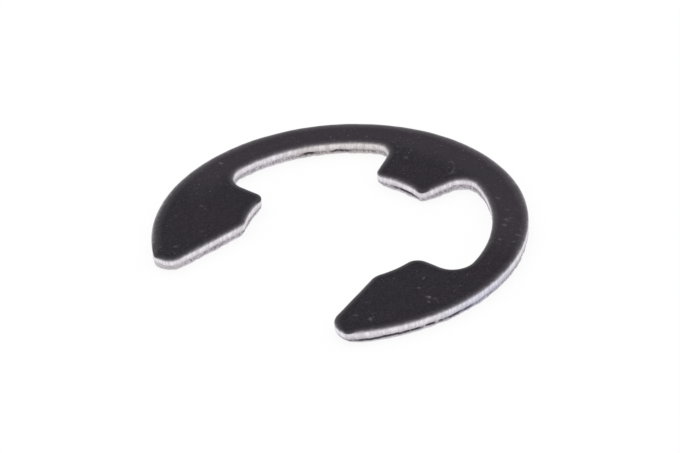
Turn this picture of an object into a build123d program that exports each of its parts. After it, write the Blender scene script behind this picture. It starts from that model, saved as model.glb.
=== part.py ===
from build123d import *
import math
import os

# E clip: a spring-steel retaining ring, blanked from flat strip, that is pushed sideways onto a
# grooved shaft and grips the groove with three prongs.
# Frame: the shaft axis is Z through the origin and the clip lies on Z = 0, with its back prong
# towards +Y and its mouth towards -Y. Lengths are in millimetres and angles in degrees.

# Overall sizes
outer_diameter = 23.4
groove_diameter = 12.0  # shaft groove that the three prongs seat on
thickness = 0.9

# Ring and prongs
ring_width = 2.25  # band of the ring left outside the two recesses
back_prong_spread = 36.4  # angle between the two radial sides of the back prong
side_prong_spread = 180.0  # angle between the backs of the two side prongs, across the back prong

# Mouth and ends of the arms
snap_lip = 0.8  # how far each side prong closes in under the widest line of the groove
lead_in_angle = 9.5  # flare of each side of the mouth, which guides the clip onto the shaft
arm_end_width = 1.29  # straight cut across the end of each arm

# Corner radii of the outline
back_prong_radius = 0.4
side_prong_radius = 0.7
throat_radius = 1.0  # where the mouth is narrowest
recess_radius = 1.35  # inside corners of the recesses, kept large because the ring flexes there
arm_inner_radius = 1.2
arm_outer_radius = 0.3

# Edges left by the blanking press
rolled_edge_radius = 0.2  # upper side, where the die draws the metal in
lower_edge_break = 0.08  # lower side, where tumbling has broken the burr

ring_outside = outer_diameter / 2
ring_inside = ring_outside - ring_width
seat = groove_diameter / 2
prong_height = ring_inside - seat
half_mouth = seat - snap_lip

# Directions from the shaft axis, turned from +X towards +Y, on the right half of the clip
back_prong_side = 90 - back_prong_spread / 2
side_prong_back = 90 - side_prong_spread / 2
throat_direction = -math.degrees(math.acos(half_mouth / seat))

with BuildPart() as e_clip:
    with BuildSketch() as outline:
        with BuildLine():
            # Inside of the right half, from the back prong round to the throat
            back_seat = CenterArc((0, 0), seat, 90, back_prong_side - 90)
            recess = CenterArc((0, 0), ring_inside, back_prong_side, side_prong_back - back_prong_side)
            side_seat = CenterArc((0, 0), seat, side_prong_back, throat_direction - side_prong_back)
            back_prong_flank = Line(back_seat @ 1, recess @ 0)
            side_prong_flank = Line(recess @ 1, side_seat @ 0)

            # The end of the arm spans from the flared side of the mouth to the outer circle
            throat = side_seat @ 1
            flare = Vector(0, -1).rotate(Axis.Z, lead_in_angle)
            outer_circle = CenterArc((0, 0), ring_outside, -90, 180, mode=Mode.PRIVATE)
            arm_cut = IntersectingLine(
                throat + Vector(arm_end_width, 0), flare, outer_circle, mode=Mode.PRIVATE
            )
            arm_outer = arm_cut @ 1
            arm_inner = arm_outer - Vector(arm_end_width, 0)
            Line(throat, arm_inner)
            Line(arm_inner, arm_outer)

            # Outside of the ring, back to the line of symmetry
            ThreePointArc(arm_outer, (ring_outside, 0), (0, ring_outside))
            Line((0, ring_outside), back_seat @ 0)
        make_face()

        # Each corner keeps its own radius, as far as the short side beside it leaves room
        rounded_corners = (
            (back_seat @ 1, min(back_prong_radius, 0.2 * prong_height)),
            (recess @ 0, min(recess_radius, 0.6 * prong_height)),
            (recess @ 1, min(recess_radius, 0.6 * prong_height)),
            (side_seat @ 0, min(side_prong_radius, 0.3 * prong_height)),
            (throat, throat_radius),
            (arm_inner, min(arm_inner_radius, 0.95 * arm_end_width)),
            (arm_outer, min(arm_outer_radius, 0.3 * arm_end_width)),
        )
        for corner, radius in rounded_corners:
            fillet(outline.vertices().sort_by_distance(corner)[0], radius=radius)
        mirror(about=Plane.YZ)
    extrude(amount=thickness)
    fillet(e_clip.faces().sort_by(Axis.Z)[-1].edges(), radius=rolled_edge_radius)
    chamfer(e_clip.faces().sort_by(Axis.Z)[0].edges(), length=lower_edge_break)

e_clip.part.label = "e_clip"
os.makedirs("parts", exist_ok=True)
export_step(e_clip.part, "parts/e_clip.step")
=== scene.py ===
import math
import random

import bpy
from mathutils import Matrix, Vector, geometry, noise


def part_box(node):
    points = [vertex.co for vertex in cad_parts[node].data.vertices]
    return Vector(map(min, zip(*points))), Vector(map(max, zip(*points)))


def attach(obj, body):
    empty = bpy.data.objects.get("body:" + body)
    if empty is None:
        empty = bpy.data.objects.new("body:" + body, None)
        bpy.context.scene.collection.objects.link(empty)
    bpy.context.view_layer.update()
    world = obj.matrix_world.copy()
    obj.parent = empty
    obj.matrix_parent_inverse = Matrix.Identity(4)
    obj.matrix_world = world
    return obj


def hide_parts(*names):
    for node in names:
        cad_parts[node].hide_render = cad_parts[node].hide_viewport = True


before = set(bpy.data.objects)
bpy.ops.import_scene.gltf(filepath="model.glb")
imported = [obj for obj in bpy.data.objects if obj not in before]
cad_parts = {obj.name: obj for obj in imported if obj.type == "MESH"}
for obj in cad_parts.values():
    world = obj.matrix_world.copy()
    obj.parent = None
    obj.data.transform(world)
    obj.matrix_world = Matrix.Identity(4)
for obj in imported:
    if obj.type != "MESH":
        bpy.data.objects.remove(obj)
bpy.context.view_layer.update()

# The clip lies on Z = 0 with the shaft axis on Z, its back prong towards +Y and its mouth towards -Y.
# The outline is worked out in millimetres, and every mesh is made in metres.
mm = 0.001
NODE = "e_clip"

box_low, box_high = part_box(NODE)
thickness = box_high[2] / mm
ring_outside = box_high[0] / mm

# Plan of the clip, with (right half, left half) where the two sides differ a little
ring_width = 2.25
ring_inside = ring_outside - ring_width
seat = 6.0
half_mouth = (5.19, 5.14)
back_prong_half_angle = (18.2, 18.0)
lead_in_angle = (9.2, 9.4)
arm_reach = (-box_low[1] / mm - 0.09, -box_low[1] / mm + 0.04)

# How far the end of each arm is sprung outwards
sprung_open = (0.025, 0.06)

# Corner radii
back_prong_radius = (0.4, 0.6)
back_recess_radius = (1.15, 1.1)
side_recess_radius = (1.4, 1.4)
side_prong_radius = (0.85, 0.7)
throat_radius = (1.3, 0.8)
arm_inner_radius = (1.55, 0.85)
arm_outer_radius = (0.2, 0.3)

# The roll under the upper face, and the depth at which the oxide is worn right through it
roll_width = 0.7
roll_depth = 0.13
wear_depth = 0.24

# Height at which the burnished band ends, and the step under it, which holds the groove and its painted
# shade
burnish_bottom = 0.4
groove_height = 0.16
step_in = 0.02

# How far the torn band runs in on its way down, and how much more at a corner
fracture_taper = 0.03
corner_taper = 0.2
underside_break = 0.07

# Fineness of the mesh: along the outline, over the flat faces, round a mark and down each band
outline_step = 0.07
cap_spacing = 0.22
mark_clearance = 0.12
roll_rows = 13
burnish_rows = 7
fracture_rows = 6

# Where the torn part of the edge is deepest: a place in millimetres and how far round it that goes
deep_tears = (((10.7, -5), 4.5), ((8.7, -7.9), 1.6), ((-5.9, 7.4), 0.9), ((-7.4, 5.9), 0.6), ((0.4, 6), 1.2))

# Where the torn part starts higher up: a place, how far round it that goes and how much higher
high_tears = (((3.2, 8), 2.5, 0.09), ((-7, -9), 1.5, 0.08), ((-6.6, 6.8), 2.5, -0.07))

# The right arm's end face leans back: from what height down, how far, and how far up the arm that fades
lean_from = 0.5
lean_back = 0.25
lean_fade = 0.7

# Where black oxide is left on the rim of a corner: a place and how far round it that goes
kept_oxide = (((1.9, 5.8), 0.7), ((-7.9, -8.7), 1.1), ((-6.0, -0.4), 0.6), ((7.8, -8.75), 0.4))

# Scratches and bright specks on the upper face: points in millimetres, then width and brightness
scratches = (
    (((6.8, -7.4), (6.9, -7.2), (7.15, -7.15)), 0.05, 0.5),
    (((7.95, -6.6), (7.9, -6.75), (8.1, -6.85)), 0.07, 0.9),
    (((9.3, -2.95), (9.45, -2.9)), 0.07, 0.9),
    (((7.95, -1.5), (8.0, -1.6)), 0.05, 0.7),
    (((8.4, -2.5), (8.45, -2.55)), 0.05, 0.6),
    (((9.8, -3.35), (9.9, -3.4)), 0.05, 0.6),
    (((9.95, -2.85), (10.0, -2.9)), 0.04, 0.5),
    (((6.55, -5.6), (6.65, -5.5)), 0.03, 0.3),
    (((1.3, 9.65), (1.65, 9.4), (1.8, 9.1), (2.0, 8.5)), 0.04, 0.4),
    (((-2.3, 8.35), (-2.2, 8.4)), 0.04, 0.5),
    (((-1.5, 8.2), (-1.4, 8.25)), 0.05, 0.5),
    (((8.1, 6.2), (8.2, 6.25)), 0.06, 0.7),
    (((8.3, 5.65), (8.4, 5.7)), 0.06, 0.6),
    (((9.1, 4.25), (9.2, 4.3)), 0.06, 0.6),
    (((10.0, 4.55), (10.1, 4.65)), 0.05, 0.6),
    (((9.65, 5.25), (9.9, 5.4)), 0.05, 0.6),
    (((9.5, 5.9), (9.55, 5.95)), 0.05, 0.5),
    (((8.2, 7.5), (8.25, 7.5)), 0.05, 0.6),
    (((8.1, 6.6), (8.2, 6.6)), 0.05, 0.5),
    (((6.2, 7.8), (6.25, 7.85)), 0.05, 0.5),
    (((-10.7, 1.15), (-10.65, 1.2)), 0.06, 0.7),
    (((-8.65, -3.25), (-8.6, -3.2)), 0.04, 0.3),
    (((-9.3, -5.0), (-9.25, -4.95)), 0.04, 0.3),
    (((-7.1, -7.65), (-7.05, -7.6)), 0.05, 0.5),
    (((-6.7, -8.15), (-6.65, -8.15)), 0.04, 0.4),
    (((-6.85, -5.4), (-6.8, -5.35)), 0.04, 0.3),
)


# ---------------------------------------------------------------- outline


def left_of(direction):
    return Vector((-direction.y, direction.x))


def polar(radius, degrees):
    angle = math.radians(degrees)
    return Vector((radius * math.cos(angle), radius * math.sin(angle)))


class Straight:
    """A straight side, travelled along its direction with the metal on the left."""

    def __init__(self, point, direction):
        self.point = point
        self.direction = direction.normalized()

    def inset(self, depth):
        return Straight(self.point + depth * left_of(self.direction), self.direction)

    def foot(self, point):
        return self.point + self.direction * (point - self.point).dot(self.direction)

    def walk(self, start, end, step):
        count = max(2, math.ceil((end - start).length / step))
        outward = -left_of(self.direction)
        return [(start.lerp(end, i / count), outward) for i in range(count)]


class Round:
    """A round side, travelled with turn +1 anticlockwise or -1 clockwise, the metal on the left."""

    def __init__(self, centre, radius, turn):
        self.centre = centre
        self.radius = radius
        self.turn = turn

    def inset(self, depth):
        return Round(self.centre, self.radius - self.turn * depth, self.turn)

    def foot(self, point):
        return self.centre + (point - self.centre).normalized() * self.radius

    def walk(self, start, end, step):
        first = math.atan2(*(start - self.centre).yx)
        swing = (math.atan2(*(end - self.centre).yx) - first) * self.turn % math.tau
        count = max(3, math.ceil(swing * self.radius / step))
        points = []
        for i in range(count):
            angle = first + self.turn * swing * i / count
            spoke = Vector((math.cos(angle), math.sin(angle)))
            points.append((self.centre + spoke * self.radius, spoke * self.turn))
        return points


def meeting_point(first, second, near):
    """Where two sides meet, at the crossing nearest to a given point."""
    if isinstance(first, Round) and isinstance(second, Straight):
        first, second = second, first
    if isinstance(second, Straight):
        crossings = [
            geometry.intersect_line_line_2d(
                first.point - 50 * first.direction,
                first.point + 50 * first.direction,
                second.point - 50 * second.direction,
                second.point + 50 * second.direction,
            )
        ]
    elif isinstance(first, Straight):
        middle = first.foot(second.centre)
        reach = math.sqrt(max(0.0, second.radius**2 - (middle - second.centre).length_squared))
        crossings = [middle + reach * first.direction, middle - reach * first.direction]
    else:
        crossings = geometry.intersect_sphere_sphere_2d(
            first.centre, first.radius, second.centre, second.radius
        )
    return min(crossings, key=lambda point: (point - near).length)


def half_outline(step, side):
    """One half drawn on the right, from the middle of the back prong's seat round to the ring's back."""
    axis = Vector((0, 0))
    back_prong_side = 90 - back_prong_half_angle[side]
    end = arm_reach[side]
    throat = Vector((half_mouth[side], -math.sqrt(seat**2 - half_mouth[side] ** 2)))
    flare = Vector((0, -1)) + Vector((math.tan(math.radians(lead_in_angle[side])), 0))
    inner_end = throat + flare * (end + throat.y)
    outer_end = Vector((math.sqrt(ring_outside**2 - end**2), -end))
    sides = [
        Round(axis, seat, -1),
        Straight(axis, polar(1, back_prong_side)),
        Round(axis, ring_inside, -1),
        Straight(axis, Vector((-1, 0))),
        Round(axis, seat, -1),
        Straight(throat, flare),
        Straight(inner_end, Vector((1, 0))),
        Round(axis, ring_outside, 1),
    ]
    corners = [
        (polar(seat, back_prong_side), back_prong_radius[side]),
        (polar(ring_inside, back_prong_side), -back_recess_radius[side]),
        (polar(ring_inside, 0), -side_recess_radius[side]),
        (polar(seat, 0), side_prong_radius[side]),
        (throat, throat_radius[side]),
        (inner_end, arm_inner_radius[side]),
        (outer_end, arm_outer_radius[side]),
    ]
    points = []
    start = polar(seat, 90)
    for before, after, (corner, radius) in zip(sides, sides[1:], corners):
        centre = meeting_point(before.inset(radius), after.inset(radius), corner)
        arc = Round(centre, abs(radius), 1 if radius > 0 else -1)
        arc_start = before.foot(centre)
        arc_end = after.foot(centre)
        points += before.walk(start, arc_start, step)
        points += arc.walk(arc_start, arc_end, min(step, abs(radius) / 6))
        start = arc_end
    points += sides[-1].walk(start, polar(ring_outside, 90), step)
    for point, _ in points:
        point.x += sprung_open[side] * (min(0.0, point.y) / end) ** 2
    return points


def whole_outline(step):
    """(point, outward) all the way round, anticlockwise about the metal."""
    back = (polar(ring_outside, 90), Vector((0, 1)))
    left = [(Vector((-p.x, p.y)), Vector((-n.x, n.y))) for p, n in half_outline(step, 1)[1:]]
    return half_outline(step, 0) + [back] + left[::-1]


# ---------------------------------------------------------------- section of the sheared edge


def fractal(point, layer, size):
    """Seeded noise between about -1 and 1: its features have the given size, and each layer differs."""
    octaves = 3
    place = Vector((*point, layer)) / size
    return noise.fractal(place, 1.0, 2.0, octaves, noise_basis="PERLIN_ORIGINAL")


def clamp(value):
    """A value held between 0 and 1."""
    return max(0.0, min(1.0, value))


def closeness(point, mark, reach):
    """1 at a marked place, 0 at the given distance from it and below 0 beyond that."""
    return 1 - (point - Vector(mark)).length / reach


def smoothed(values, reach):
    """A running mean round a closed loop, taken twice."""
    count = len(values)
    for _ in range(2):
        values = [
            sum(values[(i + k) % count] for k in range(-reach, reach + 1)) / (2 * reach + 1)
            for i in range(count)
        ]
    return values


def corner_shares(points):
    """For each column: the share of the full roll that it has room for, and how near a corner it is."""
    count = len(points)
    straight = 1e6
    rolls = []
    bends = []
    for i in range(count):
        (before, n_before), (after, n_after) = points[i - 1], points[(i + 1) % count]
        turn = n_before.cross(n_after)
        radius = (after - before).length / turn if turn > 1 / straight else straight
        place = points[i][0]
        right = clamp((place.x - 0.3 * place.y - 4) / 4)
        on_outer_arc = place.length > ring_outside - 0.05
        widest = 1.0 - 0.35 * right if on_outer_arc else 0.6
        rolls.append(min(widest, 0.95 * radius / roll_width, 0.4 + 0.25 * radius))
        bends.append(clamp(1.5 / radius - 0.3))

    # The roll narrows some columns before a sharp corner, so that the columns never cross
    spread = 7
    narrowest = [min(rolls[(i + k) % count] for k in range(-spread, spread + 1)) for i in range(count)]
    return list(zip(smoothed(narrowest, 4), smoothed(bends, spread)))


def ledge_height(point, wave):
    """Height at which the burnished band ends: uneven, and lower towards the far right."""
    x, y = point
    height = burnish_bottom + 0.04 * wave + 0.03 * fractal(point, 5, 0.35) + 0.04 * fractal(point, 21, 0.8)
    for mark, reach, rise in high_tears:
        height += rise * max(0.0, closeness(point, mark, reach))
    far_right = clamp((x + 0.5 * max(0, -y) - 9.5) / 2)
    return height - 0.075 * far_right


def groove_depth(point):
    """How deep the groove under the burnished band is at one place, from 0 to 1; it also sets the groove's
    painted shade.
    """
    deep = max(closeness(point, mark, reach) for mark, reach in deep_tears)
    ragged = 0.9 * fractal(point, 13, 0.9) + 0.7 * fractal(point, 15, 0.3)
    return min(1.0, max(0.0, 1.8 * deep * (1 + ragged), 0.25 * ragged))


def bared(drop, kept):
    """How far the oxide is worn through at a depth under the upper face, from 0 to 1."""
    oxide_left = 0.1 * kept
    return clamp((drop - oxide_left) / (wear_depth * (1 - 0.4 * kept)))


# Each row of the section holds an outward offset, a height and the shares of the four edge zones.


def rolled_rim(width, depth, kept):
    """Rows down the rounded rim, from the upper face to the start of the burnished band."""
    rows = []
    for i in range(roll_rows + 1):
        angle = math.pi / 2 * i / roll_rows
        drop = depth * (1 - math.cos(angle))
        # The rim share grows towards the edge and sets the painted sheen on the oxide
        rim = math.sin(angle)
        rows.append([width * (rim - 1), thickness - drop, bared(drop, kept), 0.0, 0.0, rim])
    return rows


def burnished_band(point, top, ledge, kept):
    """Rows down the smooth pale band."""
    rows = []
    for i in range(1, burnish_rows):
        height = top + (ledge - top) * i / burnish_rows
        ripple = 0.006 * fractal(3 * point, height, 0.5)
        rows.append([ripple, height, bared(thickness - height, kept), 0.0, 0.0, 1.0])
    return rows


def grooved_step(ledge, groove):
    """Rows down the step under the burnished band, which the groove cuts into where it is deep, with the
    groove's painted shade.
    """
    return [
        [-0.004, ledge, 1.0, 0.3, 0.3 * groove, 1.0],
        [-step_in - 0.04 * groove, ledge - 0.04, 1.0, 1.0, 0.8 * groove, 1.0],
        [-step_in - 0.06 * groove, ledge - 0.1, 1.0, 1.0, groove, 1.0],
        [-step_in - 0.04 * groove, ledge - groove_height, 1.0, 1.0, 0.9 * groove, 1.0],
    ]


def torn_band(point, top, taper, groove):
    """Rows down the rough grey band and round the small break at the underside."""
    rows = []
    for i in range(1, fracture_rows + 1):
        down = i / fracture_rows
        height = top + (underside_break - top) * down
        rough = 0.035 * fractal(point, height * 2, 0.2)
        # The groove's painted shade reaches into the first torn row
        crevice_shade = 0.4 * groove if i == 1 else 0.0
        rows.append([-step_in - taper * down + rough, height, 1.0, 1.0, crevice_shade, 1.0])

    rows.append([-taper - 0.03, underside_break * 0.4, 1.0, 0.8, 0.0, 1.0])
    rows.append([-taper - 0.05, underside_break * 0.1, 0.6, 0.5, 0.0, 0.5])
    rows.append([-taper - 0.08, 0.0, 0.0, 0.0, 0.0, 0.0])
    return rows


def edge_column(point, share, bend):
    """All rows of the section at one place, from the top down."""
    wave = fractal(point, 0, 2.2)
    width = roll_width * share * (1 + 0.12 * wave)
    depth = roll_depth * (0.75 + 0.25 * share) * (1 + 0.15 * fractal(point, 9, 1.4))
    ledge = ledge_height(point, wave)
    groove = groove_depth(point)
    kept = max(max(0.0, closeness(point, mark, reach)) for mark, reach in kept_oxide)
    taper = (fracture_taper + corner_taper * bend) * (1 + 0.3 * wave)
    taper += 0.06 * fractal(point, 17, 0.45)
    return [
        *rolled_rim(width, depth, kept),
        *burnished_band(point, thickness - depth, ledge, kept),
        *grooved_step(ledge, groove),
        *torn_band(point, ledge - groove_height, taper, groove),
    ]


# ---------------------------------------------------------------- flat faces


def crossings(loop, y):
    """Where a level line crosses a closed loop, from left to right."""
    found = []
    for a, b in zip(loop, loop[1:] + loop[:1]):
        if (a.y > y) != (b.y > y):
            found.append(a.x + (b.x - a.x) * (y - a.y) / (b.y - a.y))
    return sorted(found)


def scratch_points():
    """Every scratch as points in mm with its brightness: a bright middle line between two dark sides."""
    placed = []
    for line, width, brightness in scratches:
        ends = [Vector(point) for point in line]
        for start, end in zip(ends, ends[1:]):
            across = left_of((end - start).normalized()) * width * 0.6
            count = math.ceil((end - start).length / 0.06)
            for i in range(count + 1):
                middle = start.lerp(end, i / count)
                placed.append((middle, brightness * (0.55 + 0.45 * fractal(middle, 3, 0.1))))
                placed.append((middle + across, 0.0))
                placed.append((middle - across, 0.0))
        for tip in (ends[0] - (ends[1] - ends[0]).normalized() * width, end + left_of(-across)):
            placed.append((tip, 0.0))
    return placed


def rim_scratch(place):
    """How bright the scratches make one place on the rolled rim, outside the flat face's net."""
    bright = 0.0
    for line, width, brightness in scratches:
        for start, end in zip(line, line[1:]):
            nearest, share = geometry.intersect_point_line(place, start, end)
            nearest = Vector(start).lerp(Vector(end), max(0.0, min(1.0, share)))
            bright = max(bright, brightness * (1 - (place - nearest).length / (1.5 * width)))
    return bright


def inside(loop, place):
    """Whether a place lies inside a closed loop."""
    return sum(x < place.x for x in crossings(loop, place.y)) % 2 == 1


def cap_net(loop, height, seed, marks):
    """Fills a closed loop with an even net, finer at the marks: (points, the loop's first; triangles)."""
    draw = random.Random(seed)
    net = list(loop) + [place for place, _ in marks]
    y = min(p.y for p in loop) + cap_spacing
    while y < max(p.y for p in loop) - cap_spacing:
        ends = crossings(loop, y)
        for start, end in zip(ends[::2], ends[1::2]):
            count = int((end - start) / cap_spacing)
            for i in range(1, count):
                place = Vector((start + (end - start) * (i + draw.uniform(-0.25, 0.25)) / count, y))
                if all((place - mark).length > mark_clearance for mark, _ in marks):
                    net.append(place)
        y += cap_spacing * draw.uniform(0.8, 1.2)
    edges = [(i, (i + 1) % len(loop)) for i in range(len(loop))]
    places, _, triangles, *_ = geometry.delaunay_2d_cdt(net, edges, [], 1, 1e-6)
    return [Vector((p.x, p.y, height)) for p in places], triangles


# ---------------------------------------------------------------- clip

# The crevice zone carries painted shade in the groove, and the rim zone a painted sheen on the oxide
EDGE_ZONES = ("shear", "fracture", "crevice_shade", "rim")


class Skin:
    """The growing mesh: vertices in millimetres, faces, and the zones painted on each vertex."""

    def __init__(self):
        self.vertices = []
        self.faces = []
        self.zones = {name: [] for name in (*EDGE_ZONES, "scratch")}

    def add(self, x, y, height, shares, scratch):
        """Adds one vertex and returns its number."""
        self.vertices.append((x, y, height))
        for name, share in zip(EDGE_ZONES, shares):
            self.zones[name].append(share)
        self.zones["scratch"].append(scratch)
        return len(self.vertices) - 1

    def build(self, name):
        """The finished mesh in metres, with each zone as an attribute."""
        mesh = bpy.data.meshes.new(name)
        mesh.from_pydata([Vector(v) * mm for v in self.vertices], [], self.faces)
        mesh.validate()
        for zone, values in self.zones.items():
            attribute = mesh.attributes.new(zone, "FLOAT", "POINT")
            attribute.data.foreach_set("value", values)
        mesh.shade_smooth()
        return mesh


def lean(place, height):
    """Moves a place back where the right arm's end face leans."""
    if place.x > 0 and height < lean_from:
        fade = max(0.0, 1 - (place.y + arm_reach[0]) / lean_fade)
        place.y += lean_back * (1 - height / lean_from) * fade


def add_wall(skin, points):
    """Adds the sheared edge, column by column all the way round, and returns the rows in a column."""
    for (point, outward), (share, bend) in zip(points, corner_shares(points)):
        column = edge_column(point, share, bend)
        for offset, height, *shares in column:
            place = point + outward * offset
            lean(place, height)
            scratch = rim_scratch(place) if height > thickness - roll_depth else 0.0
            skin.add(place.x, place.y, height, shares, scratch)

    count = len(points)
    rows = len(column)
    for i in range(count):
        here, there = i * rows, (i + 1) % count * rows
        for j in range(rows - 1):
            skin.faces.append((here + j, here + j + 1, there + j + 1, there + j))
    return rows


def add_face(skin, rim, height, seed, marks):
    """Closes one flat face inside its rim, which is given as the numbers of the wall's own vertices."""
    loop = [Vector(skin.vertices[number][:2]) for number in rim]
    marks = [mark for mark in marks if inside(loop, mark[0])]
    net, triangles = cap_net(loop, height, seed, marks)
    numbers = list(rim)
    plain = [0.0] * len(EDGE_ZONES)
    for i, place in enumerate(net[len(loop):]):
        numbers.append(skin.add(*place, plain, marks[i][1] if i < len(marks) else 0.0))
    for triangle in triangles:
        corners = [numbers[k] for k in triangle]
        skin.faces.append(tuple(corners if height else corners[::-1]))


def build_clip():
    """The clip as one closed mesh."""
    skin = Skin()
    points = whole_outline(outline_step)
    rows = add_wall(skin, points)
    upper_rim = range(0, rows * len(points), rows)
    lower_rim = range(rows - 1, rows * len(points), rows)
    add_face(skin, upper_rim, thickness, seed=11, marks=scratch_points())
    add_face(skin, lower_rim, 0.0, seed=12, marks=[])
    clip = bpy.data.objects.new("e_clip_steel", skin.build("e_clip_steel"))
    bpy.context.scene.collection.objects.link(clip)
    return clip


# ---------------------------------------------------------------- materials


class Nodes:
    """Short calls for building a node material."""

    def __init__(self, name):
        self.material = bpy.data.materials.new(name)
        self.material.use_nodes = True
        self.tree = self.material.node_tree
        self.tree.nodes.clear()

    def add(self, kind, **settings):
        node = self.tree.nodes.new(kind)
        for key, value in settings.items():
            setattr(node, key, value)
        return node

    def join(self, source, target):
        self.tree.links.new(source, target)

    def fill(self, socket, value):
        if isinstance(value, bpy.types.NodeSocket):
            self.join(value, socket)
        else:
            socket.default_value = value

    def zone(self, name):
        return self.add("ShaderNodeAttribute", attribute_name=name).outputs["Fac"]

    def split(self, place):
        """A place's X, Y and Z."""
        node = self.add("ShaderNodeSeparateXYZ")
        self.join(place, node.inputs[0])
        return node.outputs

    def place_mm(self, stretch=(1, 1, 1)):
        """Object coordinates in millimetres, with an optional stretch along each axis."""
        coordinates = self.add("ShaderNodeTexCoord").outputs["Object"]
        mapping = self.add("ShaderNodeMapping")
        self.join(coordinates, mapping.inputs["Vector"])
        mapping.inputs["Scale"].default_value = [s / mm for s in stretch]
        return mapping.outputs["Vector"]

    def noise(self, place, size, detail=3.0, roughness=0.5):
        node = self.add("ShaderNodeTexNoise")
        self.join(place, node.inputs["Vector"])
        node.inputs["Scale"].default_value = 1 / size
        node.inputs["Detail"].default_value = detail
        node.inputs["Roughness"].default_value = roughness
        return node.outputs["Fac"]

    def spots(self, place, size):
        """Distance to the nearest of scattered points."""
        node = self.add("ShaderNodeTexVoronoi")
        self.join(place, node.inputs["Vector"])
        node.inputs["Scale"].default_value = 1 / size
        return node.outputs["Distance"]

    def near(self, place, centre, full, reach):
        """1 within the distance full of a centre in millimetres, falling to 0 at the distance reach."""
        node = self.add("ShaderNodeVectorMath", operation="DISTANCE")
        self.join(place, node.inputs[0])
        node.inputs[1].default_value = centre
        return self.ramp(node.outputs["Value"], full, reach, 1.0, 0.0)

    def ramp(self, value, low, high, to_low=0.0, to_high=1.0):
        """A smooth step: to_low up to low, to_high from high on."""
        node = self.add("ShaderNodeMapRange", interpolation_type="SMOOTHSTEP")
        self.join(value, node.inputs["Value"])
        node.inputs["From Min"].default_value = low
        node.inputs["From Max"].default_value = high
        node.inputs["To Min"].default_value = to_low
        node.inputs["To Max"].default_value = to_high
        return node.outputs["Result"]

    def maths(self, operation, a, b):
        node = self.add("ShaderNodeMath", operation=operation)
        self.fill(node.inputs[0], a)
        self.fill(node.inputs[1], b)
        return node.outputs[0]

    def mix(self, share, a, b):
        """Mixes two numbers."""
        node = self.add("ShaderNodeMix", data_type="FLOAT")
        self.fill(node.inputs[0], share)
        self.fill(node.inputs[2], a)
        self.fill(node.inputs[3], b)
        return node.outputs[0]

    def multiply(self, a, b):
        """Multiplies two colours."""
        node = self.add("ShaderNodeMix", data_type="RGBA", blend_type="MULTIPLY")
        node.inputs[0].default_value = 1.0
        self.fill(node.inputs[6], a)
        self.fill(node.inputs[7], b)
        return node.outputs[2]

    def blend(self, share, a, b):
        """Mixes two colours."""
        node = self.add("ShaderNodeMix", data_type="RGBA")
        self.fill(node.inputs[0], share)
        self.fill(node.inputs[6], a)
        self.fill(node.inputs[7], b)
        return node.outputs[2]


def srgb(red, green, blue):
    """A colour written as 0 to 255 on screen, as Blender's linear value."""
    linear = []
    for level in (red, green, blue):
        share = level / 255
        linear.append(share / 12.92 if share <= 0.04045 else ((share + 0.055) / 1.055) ** 2.4)
    return (*linear, 1.0)


def black_oxide(nodes, place, mottle):
    """Colour of the black oxide on the flat faces and the rim."""
    patches = nodes.ramp(nodes.noise(place, size=2.6, detail=2.0), 0.35, 0.65)
    colour = nodes.blend(patches, srgb(11, 1, 12), srgb(5, 2, 15))
    colour = nodes.blend(nodes.maths("MULTIPLY", mottle, 0.5), colour, srgb(58, 50, 60))

    # A paler band round the outside of the ring's back
    parts = nodes.split(place)
    radius = nodes.add("ShaderNodeVectorMath", operation="LENGTH")
    nodes.join(place, radius.inputs[0])
    back_side = nodes.maths("SUBTRACT", parts["Y"], nodes.maths("MULTIPLY", parts["X"], 0.3))
    outside = nodes.ramp(radius.outputs["Value"], 8.6, 10.2)
    band = nodes.maths("MULTIPLY", outside, nodes.ramp(back_side, -1, 3))
    colour = nodes.blend(nodes.maths("MULTIPLY", band, 0.45), colour, srgb(52, 46, 54))

    # Bright specks and finer dust where the oxide is thin
    broad = nodes.noise(place, size=1.1, detail=2.0)
    thin = nodes.maths("ADD", broad, nodes.maths("MULTIPLY", band, 0.17))
    speck = nodes.ramp(nodes.spots(place, size=0.4), 0.0, 0.15, 1.0, 0.0)
    speck = nodes.maths("MULTIPLY", speck, nodes.ramp(thin, 0.47, 0.62))
    colour = nodes.blend(nodes.maths("MULTIPLY", speck, 0.5), colour, srgb(145, 137, 145))
    dust = nodes.ramp(nodes.spots(place, size=0.17), 0.0, 0.22, 0.4, 0.0)
    dust = nodes.maths("MULTIPLY", dust, nodes.ramp(thin, 0.44, 0.62))
    colour = nodes.blend(dust, colour, srgb(135, 126, 136))

    # Greyer on the rim, a painted sheen for its grazing reflection, and scratched in places
    rim = nodes.maths("MULTIPLY", nodes.zone("rim"), 0.13)
    colour = nodes.blend(rim, colour, srgb(170, 164, 170))
    scratch = nodes.maths("MULTIPLY", nodes.zone("scratch"), 0.65)
    return nodes.blend(scratch, colour, srgb(140, 133, 140))


def burnished_steel(nodes, streaks, height):
    """Colour of the smooth band: streaked, a little uneven, and greyer towards its lower side."""
    colour = nodes.blend(nodes.ramp(streaks, 0.3, 0.66), srgb(220, 215, 219), srgb(249, 245, 248))
    broad = nodes.noise(nodes.place_mm((1, 1, 0.6)), size=0.45, roughness=0.6)
    uneven = nodes.ramp(broad, 0.35, 0.7, 0.0, 0.45)
    colour = nodes.blend(uneven, colour, srgb(190, 184, 188))
    fading = nodes.ramp(height, 0.36, 0.6, 0.55, 0.0)
    return nodes.blend(fading, colour, srgb(176, 170, 175))


def torn_steel(nodes, place, grain, height):
    """Colour of the rough band: grained, paler low down with a painted reflection of the bright floor, and
    paler at the end of the left arm.
    """
    colour = nodes.blend(nodes.ramp(grain, 0.3, 0.7), srgb(132, 126, 131), srgb(222, 217, 221))
    # Painted reflection of the bright floor: paler low down
    low = nodes.ramp(height, 0.03, 0.23, 1.0, 0.0)
    colour = nodes.blend(low, colour, srgb(226, 222, 225))
    left_arm_end = nodes.near(place, (-7, -9, 0.4), 0.8, 1.8)
    return nodes.blend(left_arm_end, colour, srgb(212, 207, 206))


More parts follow.
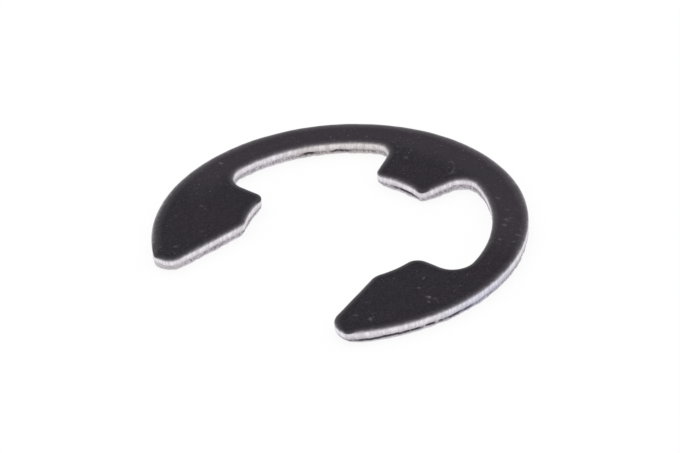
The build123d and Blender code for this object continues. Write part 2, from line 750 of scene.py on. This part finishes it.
def sheared_steel(nodes, place, streaks):
    """Colour of the bare edge: the burnished band and the torn one below it under painted tints of reflected
    light, and painted shade in the groove.
    """
    height = nodes.split(place)["Z"]
    grain = nodes.noise(nodes.place_mm((1, 1, 0.7)), size=0.15, detail=4.0, roughness=0.75)
    burnish = burnished_steel(nodes, streaks, height)
    torn = torn_steel(nodes, place, grain, height)
    ragged = nodes.maths("ADD", nodes.zone("fracture"), nodes.mix(grain, -0.6, 0.6))
    colour = nodes.blend(nodes.ramp(ragged, 0.25, 0.75), burnish, torn)

    # Painted tints of coloured reflected light on the bare steel: bluer at the right, and warmer and duller
    # at the back left
    right = nodes.near(place, (11.7, -0.4, 0), 1, 4.6)
    reflected_light_tint = nodes.blend(right, srgb(252, 252, 255), srgb(241, 244, 255))
    warm_reflection_side = nodes.near(place, (-6, 7.5, 0), 1.5, 5)
    reflected_light_tint = nodes.blend(warm_reflection_side, reflected_light_tint, srgb(244, 241, 238))
    # Painted shade in the groove under the burnished band
    return nodes.blend(nodes.zone("crevice_shade"), nodes.multiply(colour, reflected_light_tint), srgb(72, 68, 76))


def clip_material():
    """Black oxide on the flat faces, worn through the roll to bright sheared steel on the edge."""
    nodes = Nodes("blackened_spring_steel")
    place = nodes.place_mm()
    mottle = nodes.ramp(nodes.noise(place, size=0.14, detail=4.0, roughness=0.75), 0.3, 0.75)
    streaks = nodes.noise(nodes.place_mm((1, 1, 0.3)), size=0.16)

    patchy = nodes.noise(place, size=0.3)
    wear = nodes.maths("ADD", nodes.zone("shear"), nodes.mix(patchy, -0.1, 0.1))
    bare = nodes.ramp(wear, 0.05, 0.88)
    colour = nodes.blend(bare, black_oxide(nodes, place, mottle), sheared_steel(nodes, place, streaks))
    rough_steel = nodes.mix(nodes.zone("fracture"), 0.34, 0.6)
    rough_oxide = nodes.mix(mottle, 0.28, 0.4)

    shader = nodes.add("ShaderNodeBsdfPrincipled")
    nodes.join(colour, shader.inputs["Base Color"])
    nodes.join(nodes.mix(bare, 0.0, 0.85), shader.inputs["Metallic"])
    nodes.join(nodes.mix(bare, rough_oxide, rough_steel), shader.inputs["Roughness"])
    shader.inputs["Specular IOR Level"].default_value = 0.08

    bump = nodes.add("ShaderNodeBump")
    bump.inputs["Strength"].default_value = 0.5
    bump.inputs["Distance"].default_value = 0.006 * mm
    fine = nodes.noise(place, size=0.12, detail=4.0, roughness=0.6)
    relief = nodes.maths("ADD", fine, nodes.maths("MULTIPLY", streaks, 0.25))
    nodes.join(relief, bump.inputs["Height"])
    nodes.join(bump.outputs["Normal"], shader.inputs["Normal"])

    output = nodes.add("ShaderNodeOutputMaterial")
    nodes.join(shader.outputs["BSDF"], output.inputs["Surface"])
    return nodes.material


# ---------------------------------------------------------------- studio


def floor_material():
    """White to the camera, with a share of plain diffuse white that takes the clip's soft shadow."""
    glow_share = 0.85
    nodes = Nodes("studio_white")
    diffuse = nodes.add("ShaderNodeBsdfDiffuse")
    diffuse.inputs["Color"].default_value = (0.96, 0.96, 0.96, 1)
    glow = nodes.add("ShaderNodeEmission")
    glow.inputs["Color"].default_value = (1, 1, 1, 1)
    path = nodes.add("ShaderNodeLightPath")
    seen = nodes.maths("MAXIMUM", path.outputs["Is Camera Ray"], path.outputs["Is Glossy Ray"])
    seen = nodes.maths("MAXIMUM", seen, path.outputs["Is Transmission Ray"])
    share = nodes.add("ShaderNodeMixShader")
    nodes.join(nodes.maths("MULTIPLY", seen, glow_share), share.inputs[0])
    nodes.join(diffuse.outputs[0], share.inputs[1])
    nodes.join(glow.outputs[0], share.inputs[2])
    output = nodes.add("ShaderNodeOutputMaterial")
    nodes.join(share.outputs[0], output.inputs["Surface"])
    return nodes.material


def studio_floor():
    """A wide white floor just under the clip."""
    half = 2.0
    drop = 0.02 * mm
    corners = [(-half, -half, -drop), (half, -half, -drop), (half, half, -drop), (-half, half, -drop)]
    mesh = bpy.data.meshes.new("floor")
    mesh.from_pydata(corners, [], [(0, 1, 2, 3)])
    mesh.materials.append(floor_material())
    floor = bpy.data.objects.new("floor", mesh)
    bpy.context.scene.collection.objects.link(floor)


def studio_light():
    """An even white surround and one large soft lamp high at the back left."""
    world = bpy.data.worlds.new("studio")
    world.use_nodes = True
    background = world.node_tree.nodes["Background"]
    background.inputs["Color"].default_value = (1, 1, 1, 1)
    background.inputs["Strength"].default_value = 1.0
    bpy.context.scene.world = world

    lamp = bpy.data.lights.new("softbox", "AREA")
    lamp.energy = 0.12
    lamp.size = 0.3
    softbox = bpy.data.objects.new("softbox", lamp)
    softbox.location = (-0.15, 0.05, 0.35)
    softbox.rotation_euler = (-softbox.location).to_track_quat("-Z", "Y").to_euler()
    bpy.context.scene.collection.objects.link(softbox)


def camera():
    """A long lens, 41 degrees round from the front and 34 degrees up, tipped a little."""
    azimuth = math.radians(41.3)
    elevation = math.radians(33.7)
    tip = math.radians(-4.1)
    distance = 0.558
    aim = Vector((0, 0, 0.85 * mm))

    right = Vector((math.cos(azimuth), math.sin(azimuth), 0))
    forward = Vector((-math.sin(azimuth), math.cos(azimuth), 0))
    up = forward * math.sin(elevation) + Vector((0, 0, math.cos(elevation)))
    back = -forward * math.cos(elevation) + Vector((0, 0, math.sin(elevation)))
    right, up = (
        right * math.cos(tip) + up * math.sin(tip),
        up * math.cos(tip) - right * math.sin(tip),
    )
    data = bpy.data.cameras.new("camera")
    data.sensor_width = 36
    data.lens = 476.5
    data.clip_start = 0.01
    eye = bpy.data.objects.new("camera", data)
    turn = Matrix((right, up, back)).transposed().to_4x4()
    eye.matrix_world = Matrix.Translation(aim + back * distance) @ turn
    bpy.context.scene.collection.objects.link(eye)
    bpy.context.scene.camera = eye


# ---------------------------------------------------------------- scene

noise.seed_set(7)
clip = build_clip()
clip.data.materials.append(clip_material())
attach(clip, "root")
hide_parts(NODE)

studio_floor()
studio_light()
camera()
bpy.context.scene.view_settings.view_transform = "Standard"
